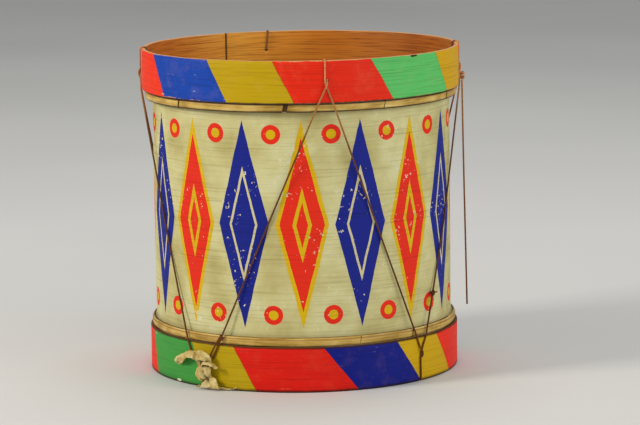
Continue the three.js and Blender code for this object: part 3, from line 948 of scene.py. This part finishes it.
tuckSettings = {
    "slip": 0.3,  # from the head's collar to the hoop
    "skin": 0.5,
    "skinInset": 0.15,  # room left for the wobble, for skin and wood
    "woodInset": 0.4,
    "skinBulge": 2.6,  # rounding of the outside: skin, skin's hidden face, wood
    "underBulge": 2.2,
    "woodBulge": 2.0,
    "sideCurve": 0.55,  # below 1 the rounding is fuller, sideways and upwards
    "riseCurve": 0.8,
    "sideSteps": 17,
    "skinWobble": 0.14,
    "woodWobble": 0.05,
    "woodSplit": 0.1,
    "topTears": (  # angle and width
        (-49.8, 1.9), (-5.8, 4.2), (31.0, 0.9), (67.0, 2.2),
        (118.0, 1.2), (163.0, 2.6), (221.0, 1.4), (262.0, 3.0),
    ),
    "bottomTears": ((20.8, 0.7), (43.8, 1.1), (97.0, 1.6), (151.0, 0.9), (214.0, 2.0), (283.0, 1.0)),
    "stepDegrees": 1.0,
    "curlDegrees": 1.6,  # how far from a tear the skin curls up, and how high, as a share of the wobble
    "curl": 0.5,
    "shift": 0.8,  # how far the ring strays up and down, as a share of the wobble
    "liftRate": 0.11,  # how quickly the wobble and that straying change, per degree
    "shiftRate": 0.09,
    "tornRate": 0.9,  # and a torn end's outline, per point
    "foldedIn": 0.6,  # the innermost part, which keeps its place
    "torn": 0.45,  # how ragged a torn end is, in mm
    "slope": 0.22,  # how far a tear leans to the right for each mm it rises
}


def roundedSide(inner, outer, base, top, bulge):
    # an open outline from the inside bottom round the outside to the inside top
    half, middle = (top - base) / 2, (top + base) / 2
    reach = min(bulge, outer - inner)
    side = []
    for t in np.linspace(-math.pi / 2, math.pi / 2, tuckSettings["sideSteps"]):
        out = reach * abs(math.cos(t)) ** tuckSettings["sideCurve"]
        rise = half * math.copysign(abs(math.sin(t)) ** tuckSettings["riseCurve"], t)
        side.append((outer - reach + out, middle + rise))
    return [(inner, base), *side, (inner, top)]


def tornRing(name, finish, section, tears, seed, ragged, wobble):
    # one stretch of ring from each tear to the next
    settings = tuckSettings
    places = sorted(tears)
    innermost, radius, level = section[0][0], section[len(section) // 2][0], section[len(section) // 4][1]
    stretches = []
    for k, (tear, width) in enumerate(places):
        following, nextWidth = places[(k + 1) % len(places)]
        following += 360 if following <= tear else 0
        begin = tear + math.degrees(width / 2 / radius)
        end = following - math.degrees(nextWidth / 2 / radius)
        count = max(4, round((end - begin) / settings["stepDegrees"]))
        rings = []
        for j, angle in enumerate(np.linspace(begin, end, count + 1)):
            nearEnd = max(0.0, 1 - min(angle - begin, end - angle) / settings["curlDegrees"])
            lift = wobble * (wander(seed, angle * settings["liftRate"]) + settings["curl"] * nearEnd)
            shift = wobble * settings["shift"] * wander(seed + 4, angle * settings["shiftRate"])
            fray = ragged if j in (0, count) else 0.0
            ownOutline = k * 3.7 + j * 0.01  # another one for each torn end
            ring = []
            for m, (r, z) in enumerate(section):
                lean = fray * wander(seed + 9, m * settings["tornRate"], ownOutline)
                lean += settings["slope"] * (z - level)
                out = r + lift * (r > innermost + settings["foldedIn"])
                ring.append(around(angle + math.degrees(lean / r), out, z + shift))
            rings.append(ring)
        stretches.append(loft(rings))
    return addPiece(name, *joined(stretches), [finish])


def makeFleshHoop(side, head, finish, settings, seed):
    tears, skin = settings[side + "Tears"], settings["skin"]
    inner = ringSize(head)[0] + settings["slip"]
    outer, base, top = ringSize(head + "_tuck")
    outer -= settings["skinInset"]
    outside = roundedSide(inner, outer, base, top, settings["skinBulge"])
    under = roundedSide(inner, outer - skin, base + skin, top - skin, settings["underBulge"])
    section, ragged = outside + under[::-1], settings["torn"]
    tuck = tornRing(side + "_skin_edge", finish, section, tears, seed, ragged, settings["skinWobble"])
    fit(tuck, side + "_hoop_set", "skin", head + "_tuck")
    outer, base, top = ringSize(side + "_flesh_hoop")
    section = roundedSide(inner, outer - settings["woodInset"], base, top, settings["woodBulge"])
    splits = [(angle, settings["woodSplit"]) for angle, _ in tears[:2]]
    core = tornRing(side + "_willow_hoop", fleshWood, section, splits, seed + 1, 0.0, settings["woodWobble"])
    fit(core, side + "_hoop_set", "bare_wood", side + "_flesh_hoop")


makeFleshHoop("top", "batter_head", topRingSkin, tuckSettings, seed=11)
makeFleshHoop("bottom", "resonant_head", bottomRingSkin, tuckSettings, seed=23)
print("heads and flesh hoops made")


# Lacing: over each rim, down inside, out of the hole and across the strand that came

def lacingLoop(sizes, angle):
    # listed points: beside the lacing point, from the axis, and from the hole towards the rim
    radius = twineSettings["radius"]
    out, inside = sizes["outer"] + lacing["reach"], sizes["inner"] - lacing["reach"]
    over = sizes["holeInset"] - sizes["groove"] + lacing["reach"]
    bend = lacing["reach"]
    curve = bend * (1 - math.sqrt(0.5))  # half way round a bend
    proud = out + 2 * radius + lacing["crossGap"]
    hole, stem, rim = lacing["holeSide"], lacing["stemSide"], -lacing["rimSide"]
    cross, fan, fanSide = lacing["crossDrop"], lacing["fanDrop"], lacing["fanSide"]
    route = [
        (fanSide, out, -fan), (stem * 0.7, out, -cross * 1.3), (-stem * 0.5, out, -cross * 0.65),
        (-stem, out, 0), (rim, out, over - bend), (rim, out - curve, over - curve),
        (rim, out - bend, over), (rim, inside + bend, over), (rim, inside + curve, over - curve),
        (rim, inside, over - bend), (hole, inside, bend), (hole, inside + curve, curve),
        (hole, inside + bend, 0), (hole, sizes["outer"], 0), (hole, out, -radius * 0.5),
        (hole * 0.9, out + radius * 0.7, -radius * 1.9), (hole * 0.6, proud, -cross * 0.75),
        (-hole * 0.65, proud, -cross * 1.35), (-fanSide * 0.75, (out + proud) / 2, -fan * 0.85),
        (-fanSide, out, -fan),
    ]
    return [around(angle, reach, sizes["hole"] + sizes["up"] * rise, side) for side, reach, rise in route]


def tautRun(begin, end):
    # between (angle, radius, height) at two hoop edges: straight, or bent round the shell where it touches
    (angle, radius, height), (endAngle, endRadius, endHeight) = begin, end
    contact = ringSize("shell")[0] + lacing["reach"]
    lead, trail = math.acos(contact / radius), math.acos(contact / endRadius)
    turn = math.radians(endAngle - angle)
    wrap = abs(turn) - lead - trail
    if wrap <= 0:
        return [around(*begin), around(*end)]
    leadIn, leadOut = radius * math.sin(lead), endRadius * math.sin(trail)
    fall = (endHeight - height) / (leadIn + contact * wrap + leadOut)
    count = math.ceil(math.degrees(wrap) / lacing["wrapStep"])
    bends = []
    for swept in np.linspace(0, wrap, count + 1):
        bendAngle = angle + math.degrees(math.copysign(lead + swept, turn))
        bends.append(around(bendAngle, contact, height + fall * (leadIn + contact * swept)))
    return [around(*begin), *bends, around(*end)]


def lacingPath():
    # from the left of the hide tie round the back to its right, up and down between the hoops
    topCross, bottomCross = upper["hole"] - lacing["crossDrop"], lower["hole"] + lacing["crossDrop"]
    stops = [(lower, *lacing["leftEnd"], False)]
    for topAngle, bottomAngle in zip(lacing["top"][:0:-1], lacing["bottom"][::-1]):
        stops.append((upper, topAngle, topCross, True))
        stops.append((lower, bottomAngle, bottomCross, True))
    stops.append((upper, lacing["top"][0], topCross, True))
    stops.append((lower, lacing["rightEnd"][0] - 360, lacing["rightEnd"][1], False))
    path = []
    for k, (sizes, angle, height, looped) in enumerate(stops):
        reach = sizes["outer"] + lacing["reach"]
        path += lacingLoop(sizes, angle) if looped else [around(angle, reach, height)]
        if k + 1 < len(stops):
            there, thereAngle, thereHeight, _ = stops[k + 1]
            slope = (thereAngle - angle) / (thereHeight - height)
            ends = []
            for hoop in (sizes, there):
                edgeAngle = angle + slope * (hoop["edge"] - height)
                ends.append((edgeAngle, hoop["outer"] + lacing["reach"], hoop["edge"]))
            path += tautRun(*ends)
    return relax(resample(path, twineSettings["step"]), lacing["relaxRounds"])


hitchSettings = {
    "spliceAt": (-31.6, 45.0),  # angle and height of the hitch where the last strand is doubled
    "spliceFoot": (323.4, 27.5),
    "spliceLift": (0.6, 0.8, 0.3),  # how far the doubled strand stands off: at the hitch, midway, at its foot
    "knotAt": (55.7, 76.0),  # small mending knot with two frayed ends
    "turns": 2.3,
    "length": 3.6,
    "reach": 1.35,
    "steps": 40,
    "frayLength": 7.0,
    "frayTurns": (60, 205),
    "frayLift": (0.3, 0.9, -0.2),
    "frayTip": 0.35,  # thickness left at the tip, as a share
    "relaxRounds": (6, 4),  # for the doubled strand and for the frayed ends
}


def nearest(path, angle, height):
    return int(np.argmin(np.linalg.norm(path - around(angle, ringSize("shell")[0], height), axis=1)))


def hitch(path, k):
    # a coil of the same twine round the strand, with the directions across it
    ahead = path[k + 2] - path[k - 2]
    ahead /= np.linalg.norm(ahead)
    out = path[k] * (1, 1, 0) / np.linalg.norm(path[k][:2])
    aside = np.cross(ahead, out)
    aside /= np.linalg.norm(aside)
    out = np.cross(aside, ahead)
    coil = []
    for share in np.linspace(0, 1, hitchSettings["steps"]):
        t = 2 * math.pi * hitchSettings["turns"] * share
        off = hitchSettings["reach"] * (math.cos(t) * aside + math.sin(t) * out)
        coil.append(path[k] + ahead * (share - 0.5) * hitchSettings["length"] + off)
    return resample(coil, twineSettings["fineStep"]), ahead, aside, out


def mendings(path, settings):
    # the doubled foot of the last strand, and the small mending knot, each with how thin it gets
    strandRounds, frayRounds = settings["relaxRounds"]
    startLift, midLift, footLift = settings["spliceLift"]
    footAngle, footHeight = settings["spliceFoot"]
    coil, _, _, out = hitch(path, nearest(path, *settings["spliceAt"]))
    start = coil[len(coil) // 2] + out * startLift
    foot = around(footAngle, lower["outer"] + lacing["reach"] + footLift, footHeight)
    strand = [start, (start + foot) / 2 + out * midLift, foot]
    yield coil, None
    yield relax(resample(strand, twineSettings["step"]), strandRounds), None
    coil, ahead, aside, out = hitch(path, nearest(path, *settings["knotAt"]))
    yield coil, None
    for turn in settings["frayTurns"]:
        t = math.radians(turn)
        lean = (math.cos(t) * aside + math.sin(t) * ahead) * settings["frayLength"]
        startLift, midLift, tipLift = settings["frayLift"]
        start = coil[len(coil) // 2] + out * startLift
        fray = [start, start + lean * 0.5 + out * midLift, start + lean + out * tipLift]
        end = relax(resample(fray, twineSettings["fineStep"]), frayRounds)
        yield end, np.linspace(1, settings["frayTip"], len(end))


def makeLacing():
    # cut at mid-height into an upper and a lower half
    path = lacingPath()
    rings = twistRings(path, twineSettings)
    middle = (upper["edge"] + lower["edge"]) / 2
    above = path[:, 2] > middle
    cuts = [0, *[k for k in range(1, len(path)) if above[k] != above[k - 1]], len(path) - 1]
    for name, body, sizes in (("upper", "top_hoop_set", upper), ("lower", "bottom_hoop_set", lower)):
        edge, isUpper = sizes["edge"], sizes is upper
        runs = [run for run in zip(cuts[:-1], cuts[1:]) if above[sum(run) // 2] == isUpper]
        lofts = [loft(rings[begin:end + 1]) for begin, end in runs]
        for extra, thin in () if isUpper else mendings(path, hitchSettings):
            lofts.append(loft(twistRings(extra, twineSettings, thin)))
        cord = addPiece("lacing_" + name, *joined(lofts), [twine])
        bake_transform(cord)
        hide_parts("tension_cord")


makeLacing()
print("lacing made")


# Tacks along the seams

tackSettings = {
    "headRadius": 2.0,
    "headHeight": 1.1,
    "headEdge": 0.2,  # height of the head's rim, under the dome
    "headUnder": 0.94,  # the head's radius underneath, as a share
    "dome": (0.25, 1.35, 7),  # angles of the dome's first and last ring, and how many
    "lift": 0.15,
    "shankRadius": 0.5,
    "shankLength": 2.2,
    "tip": 0.2,  # the shank's radius at its tip, as a share, and where it starts to narrow
    "narrowing": 0.7,
    "sides": 20,
    "dentOut": 0.1,  # hammer marks, as shares of the radius and the depth
    "dentDown": 0.08,
    "dentRate": 1.5,  # how quickly they change round the head
    "firstSeed": 40,  # each tack has its own
}
tackSurfaces = {
    "drum_shell": ringSize("shell")[0],
    "top_hoop_set": upper["outer"],
    "bottom_hoop_set": lower["outer"],
}


def makeTack(node, body, seed, settings):
    low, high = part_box(node)
    centre = (low + high) / 2 / mm
    angle = math.degrees(math.atan2(centre.x, -centre.y))
    radius, lift, edge = settings["headRadius"], settings["lift"], settings["headEdge"]
    shank, length, rate = settings["shankRadius"], settings["shankLength"], settings["dentRate"]
    profile = [
        (shank * settings["tip"], -length), (shank, -length * settings["narrowing"]), (shank, lift),
        (radius * settings["headUnder"], lift), (radius, lift + edge),
    ]
    for t in np.linspace(*settings["dome"]):
        profile.append((radius * math.cos(t), lift + edge + (settings["headHeight"] - edge) * math.sin(t)))
    rings = []
    for reach, depth in profile:
        ring = []
        for k in range(settings["sides"]):
            t = 2 * math.pi * k / settings["sides"]
            x, y = math.cos(t), math.sin(t)
            dent = settings["dentOut"] * wander(seed, x * rate, y * rate, depth)
            out = depth * (1 + settings["dentDown"] * wander(seed + 2, x, y))
            rise, side = reach * (1 + dent) * y, reach * (1 + dent) * x
            ring.append(around(angle, tackSurfaces[body] + out, centre.z + rise, side))
        rings.append(ring)
    fit(addPiece(node + "_forged", *loft(rings), [iron]), body, "iron", node)


tackNodes = [n for n in frame["nodes"] if "_tack_" in n]
for k, node in enumerate(sorted(tackNodes)):
    makeTack(node, frame["nodes"][node]["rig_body"], tackSettings["firstSeed"] + k, tackSettings)
print("tacks made:", len(tackNodes))


# Hide tie: a crumpled strip knotted through the lower left hole

hideSettings = {
    "across": 29,
    "along": 72,
    "wrinkle": 0.55,  # height of the small wrinkles
    "crumple": 0.3,  # share of that for the finest ones
    "wrinkleRate": 0.45,  # how quickly both change, per mm
    "crumpleRate": 1.3,
    "ragged": 1.0,  # how far the cut edges wander
    "raggedRate": (0.16, 1.2),  # how quickly that changes along the strip and across it
    "pleatStray": 2.4,  # how far the pleats wander, in radians
    "strayRate": (0.05, 0.8),
    "pleatMean": 0.6,  # their height, as a share of the depth, and how much it differs
    "pleatSpread": 0.8,
    "spreadRate": (0.07, 1.0),
    "pleatEdge": 0.97,  # near 1 their folds are sharp
    "thinEdge": 0.5,  # how much thinner the strip is at its edges, as a share
    "floor": 0.25,  # the lowest that it hangs
    "sharp": 55,  # degrees past which a fold shows as an edge
    "firstSeed": 60,  # each strip crumples in its own way
    "seedStep": 5,
}


def ribbon(centres, widths, outwards, thickness, camber, roll, pleats, depth, seed):
    # a strip along centres, bowed by camber, turned by roll, with sharp pleats running along it
    settings = hideSettings
    wrinkle, crumple = settings["wrinkle"], settings["wrinkle"] * settings["crumple"]
    centres, outwards = np.asarray(centres, float), np.asarray(outwards, float)
    ahead = np.gradient(centres, axis=0)
    ahead /= np.linalg.norm(ahead, axis=1)[:, None]
    rings = []
    for k, centre in enumerate(centres):
        out = outwards[k] - ahead[k] * (outwards[k] @ ahead[k])
        out /= np.linalg.norm(out)
        aside = np.cross(ahead[k], out)
        turn = math.radians(roll[k])
        side = math.cos(turn) * aside + math.sin(turn) * out
        face = math.cos(turn) * out - math.sin(turn) * aside
        front, rear = [], []
        for s in np.linspace(-1, 1, settings["across"]):
            at, spot = centre + side * widths[k] / 2 * s, np.array((k, s))
            stray = settings["pleatStray"] * wander(seed, *(spot * settings["strayRate"]))
            spread = settings["pleatSpread"] * wander(seed + 3, *(spot * settings["spreadRate"]))
            height = depth * widths[k] * (settings["pleatMean"] + spread)
            pleat = height * math.asin(settings["pleatEdge"] * math.sin(math.pi * pleats * s + stray))
            small = wrinkle * wander(seed + 1, *(at * settings["wrinkleRate"]))
            small += crumple * wander(seed + 4, *(at * settings["crumpleRate"]))
            edge = settings["ragged"] * wander(seed + 2, *(spot * settings["raggedRate"]))
            at = at + side * edge * abs(s) + face * (camber[k] * (1 - s * s) + pleat + small)
            half = thickness / 2 * (1 - settings["thinEdge"] * s ** 4)
            front.append(at + face * half)
            rear.append(at - face * half)
        ring = np.array(front + rear[::-1])
        ring[:, 2] = np.maximum(ring[:, 2], settings["floor"])
        rings.append(ring)
    return loft(rings)


def smoothAlong(stations, count):
    # a smooth run through a few given stations
    stations = np.asarray(stations, float)
    places = np.linspace(0, len(stations) - 1, count)
    fine = [np.interp(places, np.arange(len(stations)), column) for column in stations.T]
    return relax(np.stack(fine, axis=1), max(2, count // len(stations)))


def hideStrip(name, node, thickness, pleats, depth, stations, seed):
    # stations are (angle, stand-off from the hoop, height, width, camber, roll) along the strip
    fine = smoothAlong(stations, hideSettings["along"])
    centres = [around(a, lower["outer"] + off, z) for a, off, z, *_ in fine]
    outwards = [around(a, 1, 0) for a, *_ in fine]
    widths, camber, roll = fine[:, 3:].T
    points, faces = ribbon(centres, widths, outwards, thickness, camber, roll, pleats, depth, seed)
    strip = addPiece(name, points, faces, [hide], sharp=hideSettings["sharp"])
    fit(strip, "bottom_hoop_set", "hide", node)


tieStrips = {
    # node that each strip stands for, thickness, pleats across it and their depth, then its stations
    "hide_tie_strip_ear": ("hide_tie_ear", 0.8, 1.3, 0.11, [
        (319.8, 2.6, 25.4, 5.4, 0.4, 0), (317.4, 4.6, 29.0, 8.2, 1.4, -15), (314.8, 4.8, 28.8, 7.6, 1.2, -45),
        (312.4, 4.4, 25.8, 8.0, 1.4, -30), (310.0, 4.4, 22.4, 8.2, 1.0, 15), (307.8, 3.8, 18.6, 6.0, 0.5, 45),
    ]),
    "hide_tie_strip_lobe": ("hide_tie_knot", 0.8, 1.6, 0.1, [
        (318.6, 2.6, 22.2, 6.0, 0.6, 15), (318.9, 4.6, 27.2, 8.6, 1.6, 5), (321.4, 6.0, 29.6, 10.5, 2.2, -5),
        (324.1, 5.4, 26.2, 10.5, 1.8, -10), (323.2, 4.2, 22.4, 8.0, 0.9, -10),
        (321.6, 3.2, 19.4, 6.0, 0.4, 0),
    ]),
    "hide_tie_strip_end": ("hide_tie_tail", 0.8, 2.1, 0.08, [
        (320.4, 3.6, 25.0, 6.0, 0.4, 0), (320.9, 4.4, 21.4, 9.5, 1.0, 0), (321.8, 6.4, 17.2, 18.0, 2.6, 0),
        (322.6, 6.8, 12.8, 17.0, 2.6, 0), (323.5, 4.8, 9.2, 9.5, 0.2, 0), (324.2, 6.6, 6.2, 18.5, 1.6, 0),
        (324.4, 8.2, 3.6, 23.0, 1.8, 0), (324.4, 8.8, 1.9, 24.0, 1.0, 0),
    ]),
    "hide_tie_strip_flap": ("hide_tie_tail", 0.7, 0.8, 0.08, [
        (321.6, 5.4, 20.4, 3.0, 0.2, 40), (322.6, 8.0, 23.2, 4.2, 0.6, 55), (325.0, 9.6, 24.0, 4.6, 0.8, 60),
        (327.4, 9.0, 22.6, 3.8, 0.7, 50), (328.4, 7.6, 20.0, 2.2, 0.4, 30),
    ]),
    "hide_tie_strip_thread": ("hide_tie_tail", 0.7, 0.6, 0.06, [
        (325.5, 4.4, 2.6, 3.0, 0.2, 0), (328.5, 3.4, 1.7, 2.4, 0.2, 30), (331.5, 2.6, 1.4, 2.0, 0.1, 60),
        (333.6, 2.8, 1.8, 1.7, 0.1, 90), (335.0, 3.4, 3.4, 1.4, 0.1, 120),
    ]),
}
for k, (name, values) in enumerate(tieStrips.items()):
    hideStrip(name, *values, hideSettings["firstSeed"] + hideSettings["seedStep"] * k)
print("hide tie made")


# Stage: pale floor, soft light from the upper left, weaker from the front, the right and above

stageSettings = {
    "floorX": (-9000, 9000),
    "floorY": (-5000, 14000),
    "lamps": {  # place in metres, power, width and colour
        "key": ((-2.5, -1.05, 1.55), 54, 0.7, "#fff6ea"),
        "front": ((0.5, -3.0, 1.7), 14, 2.4, "#fffaf2"),
        "fill": ((2.3, -1.5, 1.0), 33, 2.0, "#fbf8f6"),
        "top": ((0.2, 0.9, 2.4), 18, 1.6, "#ffffff"),
    },
    "aim": (0, 0, 0.15),
    "sky": ("#eef0f2", 0.42),
}


def makeStage(settings):
    # matt studio paper: a pale even grey with very soft clouds
    floor, add, place = newFinish("matt studio paper")
    cloud = add("TexNoise", {"Vector": place, "Scale": per(667), "Detail": 2})
    colour = add("ValToRGB", cloud, stops=[(0.3, "#cfcfcc"), (0.7, "#d6d6d3")])
    coat(add, {"Base Color": colour, "Roughness": 0.9, "Specular IOR Level": 0.2})
    points = [(x, y, 0) for x in settings["floorX"] for y in settings["floorY"]]
    stage = addPiece("floor", points, [(0, 2, 3, 1)], [floor])
    for name, (spot, power, width, tint) in settings["lamps"].items():
        data = bpy.data.lights.new(name, "AREA")
        data.energy, data.size, data.color = power, width, linear(tint)[:3]
        lamp = bpy.data.objects.new(name, data)
        lamp.location = spot
        towards = Vector(settings["aim"]) - Vector(spot)
        lamp.rotation_euler = towards.to_track_quat("-Z", "Y").to_euler()
        bpy.context.scene.collection.objects.link(lamp)
    world = bpy.data.worlds.new("studio")
    world.use_nodes = True
    world.node_tree.nodes.clear()
    sky = addNode(world.node_tree, "Background", *settings["sky"])
    addNode(world.node_tree, "OutputWorld", sky)
    bpy.context.scene.world = world
    bpy.context.scene.view_settings.view_transform = "Standard"


makeStage(stageSettings)
print("stage made")
